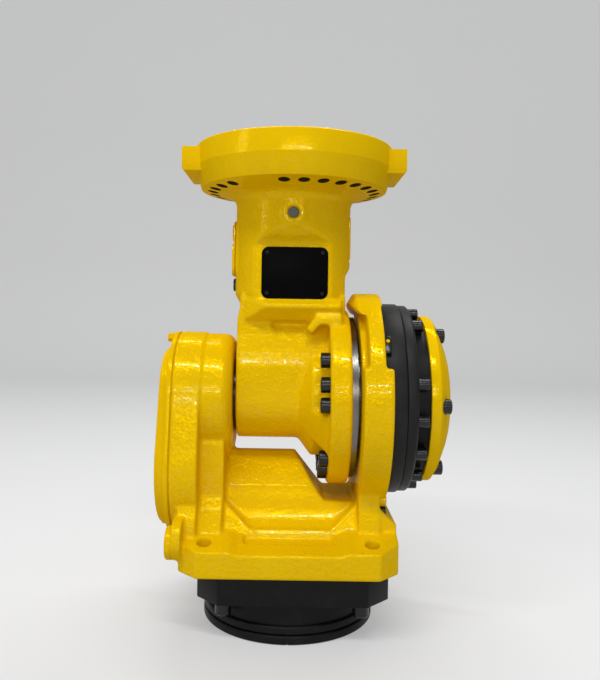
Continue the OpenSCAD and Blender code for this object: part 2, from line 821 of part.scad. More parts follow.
module end_cap() {
    rim_x = retainer_out_x + cap_rim;
    color(yellow)
    difference() {
        turned_x([
            [0, retainer_out_x], [cap_disc_r, retainer_out_x], [cap_disc_r, rim_x],
            [cap_disc_r - 5, rim_x + 4], [cap_flat_r + 6, rim_x + cap_dome - 2],
            [cap_flat_r, rim_x + cap_dome], [0, rim_x + cap_dome]
        ]);
        for (i = [0 : cap_bolt_count - 1])
            translate([0, 0, axis_z]) rotate([i * 360 / cap_bolt_count + 90, 0, 0])
                translate([rim_x + 1.5, 0, cap_bolt_r])
                    rotate([0, 90, 0]) cylinder(r = cap_spot_r, h = cap_dome + 2);
    }
}

// small lug on the reducer case, seen through the front rim window
module rim_lug() {
    color(black)
    difference() {
        translate([0, 0, axis_z]) rotate([lug_angle, 0, 0])
            translate([reducer_in_x + 0.5, -rim_lug_w / 2, reducer_r - 4])
                cube([rim_lug_t, rim_lug_w, rim_lug_h + 4]);
        bar_x(reducer_r, reducer_in_x - 1, arm_out_x, 0, axis_z);
    }
}

// outline of the hub with its rounded shoulders
module hub_section() {
    top = axis_z + crease_z;
    front = concat(
        [[-hub_r, axis_z]],
        curve([-hub_r, axis_z + hub_front], [-hub_r, (axis_z + hub_front + top) / 2 + 6],
            [-crease_y, top], 4),
        [[-scoop_r, axis_z + pinch_z]]
    );
    translate([0, axis_z]) circle(r = hub_r);
    polygon(concat(front, mirrored(front)));
}

// hub on the bend axis, pinched at its left shoulder
module hub_barrel() {
    intersection() {
        along_x(-hub_x, trunk_x + 2) hub_section();
        along_y(-hub_r - 1, hub_r + 1)
            polygon([
                [-hub_x + 2, axis_z - hub_r - 1], [-hub_x, axis_z - hub_r + 2],
                [-hub_x, axis_z + pinch_z - pinch_h], [-pinch_x, axis_z + pinch_z],
                [trunk_x + 2, axis_z + pinch_z], [trunk_x + 2, axis_z - hub_r - 1]
            ]);
    }
}

// sector of an outline about the bend axis, in front or behind
module fan(side, low, high) {
    far = 2 * web_r;
    translate([0, axis_z])
        polygon(concat([[0, 0]],
            [for (i = [0 : 3]) let (a = low + (high - low) * i / 3) [side * far * cos(a), far * sin(a)]]));
}

// outlines of the screw pockets in the cone of the trunk
module screw_pockets() {
    difference() {
        for (side = [-1, 1]) {
            fan(side, pocket_from, pocket_to);
            fan(side, -91, pocket_under);
        }
        translate([0, axis_z]) circle(r = pocket_r);
    }
}

// cone with screw pockets, flange and hood at the right end of the hub
module trunk_flange() {
    difference() {
        turned_x([[0, web_x], [hub_r - 2, web_x], [web_r, trunk_x], [web_r, trunk_x + 1], [0, trunk_x + 1]]);
        along_x(pocket_x, trunk_x) screw_pockets();
    }
    turned_x([
        [0, trunk_x], [trunk_r - 2, trunk_x], [trunk_r, trunk_x + 2],
        [trunk_r, trunk_out_x - 1], [trunk_r - 1, trunk_out_x], [0, trunk_out_x]
    ]);
    along_y(-hood_y, hood_y)
        polygon([
            [pocket_x - 6, hood_low - 4], [pocket_x + 4.5, hood_low + hood_t], [hood_x, hood_low + hood_t],
            [hood_x, hood_low], [pocket_x + 7, hood_low], [pocket_x, hood_low - 9]
        ]);
}

// web between hub and neck: gusset on the left and root on the right
module neck_root() {
    along_y(-gusset_y, gusset_y)
        polygon([
            [-hub_x, axis_z + hub_front], [-hub_x, axis_z + pinch_z - pinch_h],
            [-pinch_x, axis_z + pinch_z], [-pinch_x, axis_z + neck_z],
            [neck_step_x, axis_z + neck_z], [neck_step_x, hood_low + hood_t / 2],
            [gusset_x, hood_low + hood_t / 2], [gusset_x, axis_z + lip_z + 4],
            [-gusset_x - 18, axis_z + lip_z], [-gusset_x, axis_z + crease_z - 2],
            [-gusset_x, axis_z + hub_front]
        ]);
}

// round neck with a slope under its lower lip and a flat front under a brow
module neck() {
    side_top = axis_z + neck_step_z + neck_step_h;
    brow_y = flat_y + brow_low;
    brow_z = flat_high_z + brow_low;
    brow_in = 1.5 * (neck_r - brow_y);
    far = neck_r + 4;
    difference() {
        intersection() {
            turned_z([
                [0, axis_z + scoop_z], [scoop_r, axis_z + scoop_z], [neck_r - lip_in, axis_z + lip_z],
                [neck_r, axis_z + neck_z], [neck_r, mount_z - collar_h], [collar_r, mount_z], [0, mount_z]
            ]);
            along_y(-collar_r - 1, collar_r + 1)
                polygon([
                    [-collar_r - 1, mount_z + 1], [-collar_r - 1, axis_z + pinch_z + pinch_h],
                    [-neck_r, axis_z + pinch_z + pinch_h], [-pinch_x, axis_z + pinch_z],
                    [-pinch_x, axis_z], [neck_step_x, axis_z], [neck_step_x, axis_z + neck_step_z],
                    [neck_r, side_top], [collar_r + 1, side_top], [collar_r + 1, mount_z + 1]
                ]);
        }
        along_x(-collar_r, collar_r)
            polygon([
                [-flat_y, flat_low_z], [-flat_y, flat_high_z], [-brow_y, brow_z],
                [-brow_y - brow_in, brow_z + 1.5 * brow_high], [-far, brow_z + 1.5 * brow_high],
                [-far, flat_low_z - flat_bevel * (far - flat_y)]
            ]);
        along_x(neck_r - sunk_depth, neck_r + 1)
            sunk_outline(sunk_clear);
    }
    bar_y(plug_boss_r, -plug_face, -neck_r / 2, 0, plug_z);
    along_x(-neck_r, -neck_r / 2) side_outline();
}

// straight shelf under the flat of the neck
module neck_shelf() {
    edge = flat_low_z - shelf_drop;
    intersection() {
        along_x(-neck_r, shelf_right)
            polygon([
                [-gusset_y + 8, flat_low_z + 0.5], [-flat_y, flat_low_z + 0.5], [-shelf_y, edge],
                [-shelf_y, edge - shelf_t], [-gusset_y - 3, edge - 15], [-gusset_y + 8, edge - 18]
            ]);
        translate([0, 0, edge - 30])
            linear_extrude(height = 50)
                polygon([
                    [-shelf_left - 22, 0], [-shelf_left - 22, -gusset_y - 2], [-shelf_left, -shelf_y - 1],
                    [shelf_right + 1, -shelf_y - 1], [shelf_right + 1, 0]
                ]);
    }
}

// outline of the foot of the left cover and its knob
module side_outline() {
    high = knob_z + knob_r + 2;
    translate([0, (side_low_z + high) / 2]) round_rect(2 * side_half, high - side_low_z, 8);
}

// outline of the right cover, widened by a play
module sunk_outline(play) {
    translate([0, (sunk_low_z + sunk_high_z) / 2])
        round_rect(2 * (sunk_half + play), sunk_high_z - sunk_low_z + 2 * play, 8);
}

module trunk_casting() {
    color(yellow)
    difference() {
        union() {
            hub_barrel();
            trunk_flange();
            neck_root();
            neck();
            neck_shelf();
        }
        bar_y(plug_r, -plug_face - 1, -plug_face + 6, 0, plug_z);
    }
}

module mounting_flange() {
    color(yellow)
    difference() {
        union() {
            turned_z([
                [0, mount_z], [collar_r, mount_z], [mount_low_r, mount_z + mount_rise],
                [mount_r, mount_z + mount_break], [mount_r, mount_top - 1],
                [mount_r - 1, mount_top], [0, mount_top]
            ]);
            along_y(-lug_half, lug_half)
                polygon([
                    [-lug_x, mount_top - lug_drop], [-lug_x, mount_z + lug_low + lug_chamfer],
                    [-lug_x + lug_chamfer, mount_z + lug_low],
                    [lug_x - lug_chamfer, mount_z + lug_low],
                    [lug_x, mount_z + lug_low + lug_chamfer], [lug_x, mount_top - lug_drop]
                ]);
        }
        translate([0, 0, mount_top - mount_pilot_depth])
            cylinder(r = mount_pilot_r, h = mount_pilot_depth + 1);
        for (i = [0 : mount_positions - 1])
            if (i != mount_positions - 2 && i != mount_positions - 3)
                rotate([0, 0, -90 + (i + 0.5) * mount_step])
                    translate([mount_bolt_r, 0, mount_z - 1])
                        cylinder(r = mount_hole_r, h = mount_h + 2);
    }
}

module output_ring() {
    color(steel)
    turned_x([
        [0, trunk_out_x], [output_r, trunk_out_x], [output_r, output_x],
        [output_shaft_r, output_x], [output_shaft_r, arm_out_x - face_clear],
        [0, arm_out_x - face_clear]
    ]);
}

module journal_ring() {
    color(steel)
    turned_x([
        [0, -boss_x - journal_len], [journal_r, -boss_x - journal_len],
        [journal_r, -boss_x + face_clear], [shoulder_r, -boss_x + face_clear],
        [shoulder_r, -hub_x], [0, -hub_x]
    ]);
}

module blank_plate() {
    color(black)
    translate([plate_x, 0, plate_mid_z])
        along_y(-flat_y - plate_t, -flat_y) round_rect(plate_w, plate_tall, plate_corner);
}

module neck_plug() {
    color(grey)
    bar_y(plug_r, -plug_face - plug_out, -plug_face + 6, 0, plug_z);
}

module side_cover_left() {
    mid = (side_low_z + side_high_z) / 2;
    color(yellow)
    union() {
        along_x(-neck_r - side_foot, -neck_r) side_outline();
        along_x(-neck_r - side_t, -neck_r)
            translate([0, mid]) round_rect(2 * side_half, side_high_z - side_low_z, 8);
        bar_x(knob_r, -neck_r - knob_t, -neck_r, 0, knob_z);
    }
}

module side_cover_right() {
    seat = neck_r - sunk_depth;
    color(yellow) along_x(seat, seat + sunk_t) sunk_outline(0);
}

output_flange();
clamp_ring();
seal_ring();
wrist_case();
square_plate();
yoke_casting();
gear_cover();
round_cap();
reducer_case();
reducer_flange();
cap_retainer();
end_cap();
rim_lug();
trunk_casting();
mounting_flange();
output_ring();
journal_ring();
blank_plate();
neck_plug();
side_cover_left();
side_cover_right();
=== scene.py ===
"""Looks of a robot wrist unit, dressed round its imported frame.

Castings, machined pieces, screws, finishes, light and camera.
"""
import logging
import math
from dataclasses import dataclass, field
from enum import Enum
from typing import Any, Iterable, Sequence

import bpy
from mathutils import Matrix, Vector


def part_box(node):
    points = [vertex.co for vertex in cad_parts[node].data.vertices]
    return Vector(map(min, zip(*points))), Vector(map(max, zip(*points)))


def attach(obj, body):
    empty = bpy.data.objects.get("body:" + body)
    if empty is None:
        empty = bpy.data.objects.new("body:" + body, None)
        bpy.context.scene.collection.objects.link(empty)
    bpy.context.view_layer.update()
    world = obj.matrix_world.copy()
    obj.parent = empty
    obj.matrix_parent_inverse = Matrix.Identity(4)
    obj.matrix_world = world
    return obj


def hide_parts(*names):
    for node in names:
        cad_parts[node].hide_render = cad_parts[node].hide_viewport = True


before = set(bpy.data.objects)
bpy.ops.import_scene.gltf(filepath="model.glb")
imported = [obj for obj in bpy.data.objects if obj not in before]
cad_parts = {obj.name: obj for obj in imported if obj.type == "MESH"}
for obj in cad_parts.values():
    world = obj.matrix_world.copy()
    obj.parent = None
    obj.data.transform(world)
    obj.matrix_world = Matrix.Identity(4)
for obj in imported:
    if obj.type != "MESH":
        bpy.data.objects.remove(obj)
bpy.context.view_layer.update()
LOG = logging.getLogger("wrist_unit")
MM = 0.001
AXIS_Z = 0.215
MERGE_WITHIN = 0.01 * MM
FLAT_DEGREES = 1.0
EDGE_DEGREES = 25.0
HEX_SIDES = 6
HEX_CORNERS = 1.15
LEFT, RIGHT = Vector((-1, 0, 0)), Vector((1, 0, 0))
FRONT, DOWN = Vector((0, -1, 0)), Vector((0, 0, -1))

Colour = tuple[float, float, float]
Pair = tuple[float, float]
Triple = tuple[float, float, float]


class Body(Enum):
    """Rigid bodies of the wrist that a piece can ride on."""

    FLANGE = "tool_flange"
    YOKE = "yoke"
    TRUNK = "trunk"


class Slot(Enum):
    """Material slots of the record."""

    PAINT = "yellow_paint"
    BLACK = "black_steel"
    PLATE = "plate_black"
    PLUG = "plug_grey"


class Head(Enum):
    """Kinds of screw head."""

    SOCKET = "socket"
    HEX = "hex"
    PLAIN = "plain"


# Shader expressions


class Wire:
    """An output socket that takes part in Python expressions by adding Math nodes."""

    def __init__(self, box: "Paintbox", socket: bpy.types.NodeSocket) -> None:
        """Keeps the socket and the paintbox whose tree it is in."""
        self.box = box
        self.socket = socket

    def _math(self, operation: str, left: Any, right: Any) -> "Wire":
        """Adds one Math node.

        Args:
            operation: the Math node's operation.
            left: first value or wire.
            right: second value or wire.

        Returns:
            The wire of the result.
        """
        return self.box.node("ShaderNodeMath", {"operation": operation}, {0: left, 1: right})

    def __add__(self, other: Any) -> "Wire":
        """Sum."""
        return self._math("ADD", self, other)

    def __radd__(self, other: Any) -> "Wire":
        """Sum, reflected."""
        return self._math("ADD", other, self)

    def __sub__(self, other: Any) -> "Wire":
        """Difference."""
        return self._math("SUBTRACT", self, other)

    def __rsub__(self, other: Any) -> "Wire":
        """Difference, reflected."""
        return self._math("SUBTRACT", other, self)

    def __mul__(self, other: Any) -> "Wire":
        """Product."""
        return self._math("MULTIPLY", self, other)

    def __rmul__(self, other: Any) -> "Wire":
        """Product, reflected."""
        return self._math("MULTIPLY", other, self)

    def over(self, threshold: float, width: float) -> "Wire":
        """Soft step from 0 to 1.

        Args:
            threshold: value at which the step starts.
            width: length of the step.

        Returns:
            A wire between 0 and 1.
        """
        settings = {"interpolation_type": "SMOOTHSTEP", "clamp": True}
        return self.box.node(
            "ShaderNodeMapRange",
            settings,
            {"Value": self, "From Min": threshold, "From Max": threshold + width},
        )


class Paintbox:
    """A material under construction, with one method that adds any node."""

    def __init__(self, name: str) -> None:
        """Makes an empty node material of that name."""
        self.material = bpy.data.materials.new(name)
        self.material.use_nodes = True
        self.tree = self.material.node_tree
        self.tree.nodes.clear()
        out = self.tree.nodes.new("ShaderNodeOutputMaterial")
        self.shader = self.tree.nodes.new("ShaderNodeBsdfPrincipled")
        self.tree.links.new(self.shader.outputs[0], out.inputs["Surface"])
        coords = self.tree.nodes.new("ShaderNodeTexCoord")
        self.place = Wire(self, coords.outputs["Object"])

    def feed(self, socket: bpy.types.NodeSocket, value: Any) -> None:
        """Links a wire to a socket, or sets a plain value on it.

        Args:
            socket: the input socket.
            value: a wire, a number or a sequence of numbers.
        """
        if isinstance(value, Wire):
            self.tree.links.new(value.socket, socket)
        elif socket.type == "RGBA" and len(value) == 3:
            socket.default_value = (*value, 1.0)
        else:
            socket.default_value = value

    def node(
        self, kind: str, settings: dict[str, Any], values: dict[Any, Any], out: Any = 0
    ) -> Wire:
        """Adds a node.

        Args:
            kind: type name of the node.
            settings: attributes of the node, set first.
            values: values or wires of its input sockets, by name or number.
            out: name or number of the output that is returned.

        Returns:
            The wire of that output.
        """
        made = self.tree.nodes.new(kind)
        for key, value in settings.items():
            setattr(made, key, value)
        for key, value in values.items():
            self.feed(made.inputs[key], value)
        return Wire(self, made.outputs[out])

    def noise(self, scale: float, detail: float = 2.0, rough: float = 0.5) -> Wire:
        """Noise on the piece's own coordinates.

        Args:
            scale: features per metre.
            detail: octaves.
            rough: strength of the finer octaves.

        Returns:
            The noise value.
        """
        values = {"Vector": self.place, "Scale": scale, "Detail": detail, "Roughness": rough}
        return self.node("ShaderNodeTexNoise", {}, values)

    def mix(self, share: Any, low: Any, high: Any) -> Wire:
        """Mixes two colours.

        Args:
            share: factor from 0 to 1.
            low: colour at 0.
            high: colour at 1.

        Returns:
            The mixed colour.
        """
        # By number, because the sockets of all the data types share their names.
        sockets = {0: share, 6: low, 7: high}
        return self.node("ShaderNodeMix", {"data_type": "RGBA"}, sockets, out=2)

    def bump(self, height: Wire, distance: float) -> None:
        """Feeds a height to the shader's Normal through a Bump node.

        Args:
            height: the height, about 0 to 1.
            distance: height of 1 in metres.
        """
        values = {"Height": height, "Distance": distance, "Strength": 1.0}
        self.feed(self.shader.inputs["Normal"], self.node("ShaderNodeBump", {}, values))

    def set(self, **values: Any) -> None:
        """Sets sockets of the shader, with _ for a blank in their names."""
        for key, value in values.items():
            self.feed(self.shader.inputs[key.replace("_", " ")], value)


@dataclass(frozen=True)
class Enamel:
    """Gloss yellow enamel, over a rough casting or over a machined face."""

    name: str
    peel: float
    grain: float
    glints: float
    tint: Colour = (0.84, 0.528, 0.001)
    deep: Colour = (0.74, 0.44, 0.0006)
    chip: Colour = (0.05, 0.035, 0.02)
    flake: float = 0.085
    gloss: float = 0.13
    edge_tint: Colour = (1.0, 0.86, 0.4)
    coat: float = 0.008
    coat_gloss: float = 0.055
    coat_index: float = 3.0

    def material(self) -> bpy.types.Material:
        """Returns the enamel: clouded, with dark chips, orange peel, cast grain and glints."""
        box = Paintbox(self.name)
        cloud = box.noise(14.0, 3.0, 0.55).over(0.35, 0.35)
        patches = box.noise(30.0, 2.0).over(0.55, 0.1)
        specks = box.noise(420.0, 1.0, 0.4).over(0.79, 0.02) * patches
        colour = box.mix(cloud * 0.35, self.tint, self.deep)
        glint = box.noise(430.0, 2.0, 0.5).over(0.5, 0.14)
        box.set(
            Base_Color=box.mix(specks, colour, self.chip),
            Metallic=self.flake,
            Roughness=self.gloss + box.noise(60.0, 2.0) * 0.05,
            Specular_IOR_Level=0.0,
            Specular_Tint=self.edge_tint,
            Coat_Weight=glint * self.glints + self.coat,
            Coat_Roughness=self.coat_gloss,
            Coat_IOR=self.coat_index,
        )
        grain = box.noise(330.0, 2.0, 0.55).over(0.38, 0.4) * self.grain
        waves = box.noise(90.0, 2.0, 0.5) * self.peel
        box.bump(grain + waves, 1.0 * MM)
        return box.material


@dataclass(frozen=True)
class BlackOxide:
    """Satin black oxide on turned or milled steel."""

    name: str
    tint: Colour = (0.0045, 0.005, 0.0045)
    worn: Colour = (0.011, 0.0115, 0.011)
    gloss: float = 0.42
    shine: float = 0.14

    def material(self) -> bpy.types.Material:
        """Returns the black finish with faint rubbed patches."""
        box = Paintbox(self.name)
        rub = box.noise(45.0, 4.0, 0.6).over(0.45, 0.3)
        fine = box.noise(900.0, 2.0, 0.5)
        box.set(
            Base_Color=box.mix(rub * 0.6 + fine * 0.15, self.tint, self.worn),
            Roughness=box.noise(70.0, 3.0) * 0.16 + (self.gloss - 0.08),
            Specular_IOR_Level=self.shine,
        )
        box.bump(fine, 0.08 * MM)
        return box.material


@dataclass(frozen=True)
class TurnedSteel:
    """Bare steel turned about the bend axis."""

    name: str
    tint: Colour = (0.20, 0.195, 0.185)
    stain: Colour = (0.10, 0.095, 0.085)
    lines_per_metre: float = 2600.0

    def material(self) -> bpy.types.Material:
        """Returns bare steel with turning lines along X."""
        box = Paintbox(self.name)
        along = box.node("ShaderNodeSeparateXYZ", {}, {0: box.place}, "X")
        values = {"W": along, "Scale": self.lines_per_metre}
        lines = box.node("ShaderNodeTexNoise", {"noise_dimensions": "1D"}, values)
        stain = box.noise(60.0, 3.0).over(0.4, 0.3)
        box.set(
            Base_Color=box.mix(stain * 0.6, self.tint, self.stain),
            Roughness=lines * 0.15 + 0.2,
            Metallic=1.0,
        )
        box.bump(lines, 0.06 * MM)
        return box.material


@dataclass(frozen=True)
class PlainFinish:
    """A quiet finish for the blank plate and the plug."""

    name: str
    tint: Colour
    light: Colour
    gloss: float
    shine: float = 0.4

    def material(self) -> bpy.types.Material:
        """Returns the finish with a fine mottle."""
        box = Paintbox(self.name)
        mottle = box.noise(260.0, 3.0, 0.6)
        box.set(
            Base_Color=box.mix(mottle.over(0.4, 0.4) * 0.7, self.tint, self.light),
            Roughness=mottle * 0.15 + (self.gloss - 0.07),
            Specular_IOR_Level=self.shine,
        )
        box.bump(mottle, 0.05 * MM)
        return box.material


@dataclass(frozen=True)
class StageFinish:
    """Pale floor and backdrop."""

    name: str
    tint: Colour
    shown: Colour
    glow: float

    def material(self) -> bpy.types.Material:
        """Returns a matt pale finish that the eye and mirrors see a little brighter."""
        box = Paintbox(self.name)
        rays = ("Is Camera Ray", "Is Glossy Ray", "Is Transmission Ray")
        camera, glossy, clear = (box.node("ShaderNodeLightPath", {}, {}, ray) for ray in rays)
        seen = camera + glossy + clear
        shade = tuple(0.97 * c for c in self.tint)
        box.set(
            Base_Color=box.mix(box.noise(3.0, 2.0), self.tint, shade),
            Roughness=0.7,
            Specular_IOR_Level=0.2,
            Emission_Color=box.mix(seen, (0.0, 0.0, 0.0), self.shown),
            Emission_Strength=self.glow,
        )
        return box.material


@dataclass
class Palette:
    """All the finishes of the wrist, made once."""

    cast: bpy.types.Material = field(
        default_factory=Enamel("enamel_cast", peel=0.5, grain=0.22, glints=0.07).material
    )
    smooth: bpy.types.Material = field(
        default_factory=Enamel("enamel_smooth", peel=0.3, grain=0.08, glints=0.045).material
    )
    black: bpy.types.Material = field(default_factory=BlackOxide("black_oxide").material)
    screw: bpy.types.Material = field(
        default_factory=BlackOxide(
            "screw_black", (0.004, 0.004, 0.0045), (0.009, 0.009, 0.009), gloss=0.24, shine=0.4
        ).material
    )
    reducer: bpy.types.Material = field(
        default_factory=BlackOxide(
            "reducer_black", (0.007, 0.0075, 0.0072), (0.014, 0.015, 0.0145), gloss=0.46, shine=0.2
        ).material
    )
    # Painted shade: dark brown for the walls of the flange holes, which are painted yellow but lie
    # in shade.
    hole_shade: bpy.types.Material = field(
        default_factory=BlackOxide(
            "painted_hole_shade", (0.045, 0.025, 0.002), (0.07, 0.04, 0.003), gloss=0.6
        ).material
    )
    steel: bpy.types.Material = field(default_factory=TurnedSteel("turned_steel").material)
    # Turned steel of the journal ring, with its colour darkened as painted shade of the narrow gap
    # between the hub and the gear boss.
    gap_shade_steel: bpy.types.Material = field(
        default_factory=TurnedSteel(
            "steel_with_painted_gap_shade", (0.05, 0.044, 0.034), (0.025, 0.022, 0.017)
        ).material
    )
    plate: bpy.types.Material = field(
        default_factory=PlainFinish(
            "plate_black", (0.0014, 0.0014, 0.0014), (0.0024, 0.0024, 0.0023), gloss=0.4, shine=0.03
        ).material
    )
    plug: bpy.types.Material = field(
        default_factory=PlainFinish(
            "plug_grey", (0.10, 0.105, 0.09), (0.14, 0.145, 0.125), gloss=0.55
        ).material
    )


# Modelling


def clear_selection() -> None:
    """Leaves edit mode and deselects everything."""
    if bpy.context.mode != "OBJECT":
        bpy.ops.object.mode_set(mode="OBJECT")
    bpy.ops.object.select_all(action="DESELECT")


def take(obj: bpy.types.Object) -> None:
    """Makes one object the only selected and active one."""
    clear_selection()
    obj.select_set(True)
    bpy.context.view_layer.objects.active = obj


def add_modifier(obj: bpy.types.Object, kind: str, **settings: Any) -> None:
    """Adds a modifier and applies it.

    Args:
        obj: the piece.
        kind: type of the modifier.
        settings: attributes of the modifier.
    """
    take(obj)
    modifier = obj.modifiers.new(kind.lower(), kind)
    for key, value in settings.items():
        setattr(modifier, key, value)
    bpy.ops.object.modifier_apply(modifier=modifier.name)


def settle(obj: bpy.types.Object, name: str) -> None:
    """Names a piece and puts its place into its mesh.

    Args:
        obj: the piece.
        name: its final name.
    """
    take(obj)
    bpy.ops.object.transform_apply(location=True, rotation=True, scale=True)
    obj.name = name
    obj.data.name = name


def smooth_by_angle(obj: bpy.types.Object, degrees: float) -> None:
    """Shades a piece smooth, with sharp edges above an angle.

    Args:
        obj: the piece.
        degrees: the angle.
    """
    take(obj)
    bpy.ops.object.shade_smooth_by_angle(angle=math.radians(degrees))


def copy_node(node: str, name: str) -> bpy.types.Object:
    """Copies a CAD node's mesh into a new piece and merges its corners.

    Args:
        node: the CAD node.
        name: name of the piece.

    Returns:
        The new piece.
    """
    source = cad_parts[node]
    piece = bpy.data.objects.new(name, source.data.copy())
    piece.data.name = name
    piece.data.materials.clear()
    bpy.context.scene.collection.objects.link(piece)
    take(piece)
    bpy.ops.mesh.customdata_custom_splitnormals_clear()
    bpy.ops.object.mode_set(mode="EDIT")
    bpy.ops.mesh.select_all(action="SELECT")
    bpy.ops.mesh.remove_doubles(threshold=MERGE_WITHIN)
    bpy.ops.object.mode_set(mode="OBJECT")
    return piece


def cast_skin(
    node: str,
    name: str,
    voxel: float,
    passes: int,
    fillet: float = 1.2 * MM,
    most: int = 180_000,
) -> bpy.types.Object:
    """Makes the skin of a casting from its CAD node, with filled corners and round edges.

    Args:
        node: the CAD node.
        name: name of the piece.
        voxel: mesh width in metres.
        passes: passes of smoothing, which round edges and corners.
        fillet: how far the skin swells and shrinks again, which fills its inner corners.
        most: most triangles that the skin may have.

    Returns:
        The skin.
    """
    piece = copy_node(node, name)
    for swell in (fillet, -fillet):
        add_modifier(piece, "REMESH", mode="VOXEL", voxel_size=voxel, adaptivity=0.0)
        add_modifier(piece, "SMOOTH", factor=0.5, iterations=1)
        add_modifier(piece, "DISPLACE", strength=swell, mid_level=0.0)
    add_modifier(piece, "REMESH", mode="VOXEL", voxel_size=voxel, adaptivity=0.0)
    add_modifier(piece, "SMOOTH", factor=0.5, iterations=passes)
    triangles = 2 * len(piece.data.polygons)
    if triangles > most:
        add_modifier(piece, "DECIMATE", ratio=most / triangles)
    take(piece)
    bpy.ops.object.shade_smooth()
    return piece


def edged_skin(node: str, name: str, width: float) -> bpy.types.Object:
    """Makes a machined piece with broken edges from its CAD node.

    Args:
        node: the CAD node.
        name: name of the piece.
        width: width of the broken edges in metres.

    Returns:
        The piece.
    """
    piece = copy_node(node, name)
    take(piece)
    bpy.ops.object.mode_set(mode="EDIT")
    bpy.ops.mesh.select_all(action="SELECT")
    bpy.ops.mesh.dissolve_limited(angle_limit=math.radians(FLAT_DEGREES))
    bpy.ops.object.mode_set(mode="OBJECT")
    limit = math.radians(EDGE_DEGREES)
    add_modifier(
        piece, "BEVEL", width=width, segments=2, limit_method="ANGLE", angle_limit=limit
    )
    smooth_by_angle(piece, EDGE_DEGREES)
    return piece


@dataclass
class Screw:
    """A screw head, modelled once along +Z from its seat and copied to its places."""

    radius: float
    height: float
    head: Head = Head.SOCKET
    socket_share: float = 0.52
    rim_share: float = 0.1
    depth_share: float = 0.6
    sides: int = 28
    crease: float = 30.0
    pattern: bpy.types.Object | None = None

    def build(self) -> bpy.types.Object:
        """Returns the pattern head, with a broken rim and, on a socket head, its socket."""
        if self.pattern is not None:
            return self.pattern
        clear_selection()
        count = HEX_SIDES if self.head is Head.HEX else self.sides
        bpy.ops.mesh.primitive_cylinder_add(
            vertices=count, radius=self.radius, depth=self.height, location=(0, 0, self.height / 2)
        )
        piece = bpy.context.object
        settle(piece, "screw_pattern")
        bpy.ops.object.mode_set(mode="EDIT")
        bpy.ops.mesh.select_mode(type="FACE")
        bpy.ops.mesh.select_all(action="DESELECT")
        bpy.ops.object.mode_set(mode="OBJECT")
        for face in piece.data.polygons:
            face.select = face.normal.z > 0.9
        bpy.ops.object.mode_set(mode="EDIT")
        bpy.ops.mesh.inset(thickness=self.radius * self.rim_share)
        bpy.ops.transform.translate(value=(0, 0, self.radius * self.rim_share))
        bpy.ops.object.mode_set(mode="OBJECT")
        if self.head is Head.SOCKET:
            self.cut_socket(piece)
        smooth_by_angle(piece, self.crease)
        piece.hide_render = True
        piece.hide_viewport = True
        self.pattern = piece
        return piece

    def cut_socket(self, piece: bpy.types.Object) -> None:
        """Cuts the hexagon socket into the top of the head.

        Args:
            piece: the head.
        """
        clear_selection()
        bpy.ops.mesh.primitive_cylinder_add(
            vertices=HEX_SIDES,
            radius=self.radius * self.socket_share * HEX_CORNERS,
            depth=self.height * self.depth_share * 2,
            location=(0, 0, self.height + self.radius * self.rim_share),
        )
        cutter = bpy.context.object
        add_modifier(piece, "BOOLEAN", operation="DIFFERENCE", object=cutter, solver="EXACT")
        bpy.data.objects.remove(cutter)

    def put(self, name: str, seat: Vector, axis: Vector, turn: float = 0.0) -> bpy.types.Object:
        """Copies the head to a place.

        Args:
            name: name of the copy.
            seat: middle of the face that the head sits on.
            axis: direction in which the head stands out.
            turn: turn about its own axis in radians.

        Returns:
            The copy, with its own mesh.
        """
        pattern = self.build()
        copy = bpy.data.objects.new(name, pattern.data.copy())
        copy.data.name = name
        bpy.context.scene.collection.objects.link(copy)
        turned = axis.to_track_quat("Z", "Y").to_matrix().to_4x4()
        copy.data.transform(Matrix.Translation(seat) @ turned @ Matrix.Rotation(turn, 4, "Z"))
        return copy

    def discard(self) -> None:
        """Removes the pattern."""
        if self.pattern is not None:
            bpy.data.objects.remove(self.pattern)
            self.pattern = None


def dress(
    piece: bpy.types.Object,
    finish: bpy.types.Material,
    body: Body,
    stands_for: Sequence[str] = (),
    inside: bpy.types.Material | None = None,
) -> None:
    """Gives a piece its finish, body and the nodes that it stands for.

    Args:
        piece: the piece.
        finish: its material.
        body: the body that it rides on.
        stands_for: CAD nodes that it replaces.
        inside: second material, for the faces with material number 1.
    """
    numbers = [face.material_index for face in piece.data.polygons]
    piece.data.materials.clear()
    piece.data.materials.append(finish)
    if inside is not None:
        piece.data.materials.append(inside)
        piece.data.polygons.foreach_set("material_index", numbers)
    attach(piece, body.value)
    if stands_for:
        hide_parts(*stands_for)
    LOG.info("%s rides on %s, %d faces", piece.name, body.value, len(piece.data.polygons))


def paint_nodes(finish: bpy.types.Material, nodes: Iterable[str]) -> None:
    """Gives CAD nodes a finish.

    Args:
        finish: the material.
        nodes: names of the nodes.
    """
    for node in nodes:
        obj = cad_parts[node]
        obj.data.materials.clear()
        obj.data.materials.append(finish)
        LOG.info("%s keeps its solid", node)


def on_bend_axis(x: float, radius: float, degrees: float) -> Vector:
    """Point on a circle about the bend axis.

    Args:
        x: place along the axis in metres.
        radius: radius of the circle in metres.
        degrees: angle up from the front.

    Returns:
        The point.
    """
    a = math.radians(degrees)
    return Vector((x, -radius * math.cos(a), AXIS_Z + radius * math.sin(a)))


# Sub-assemblies


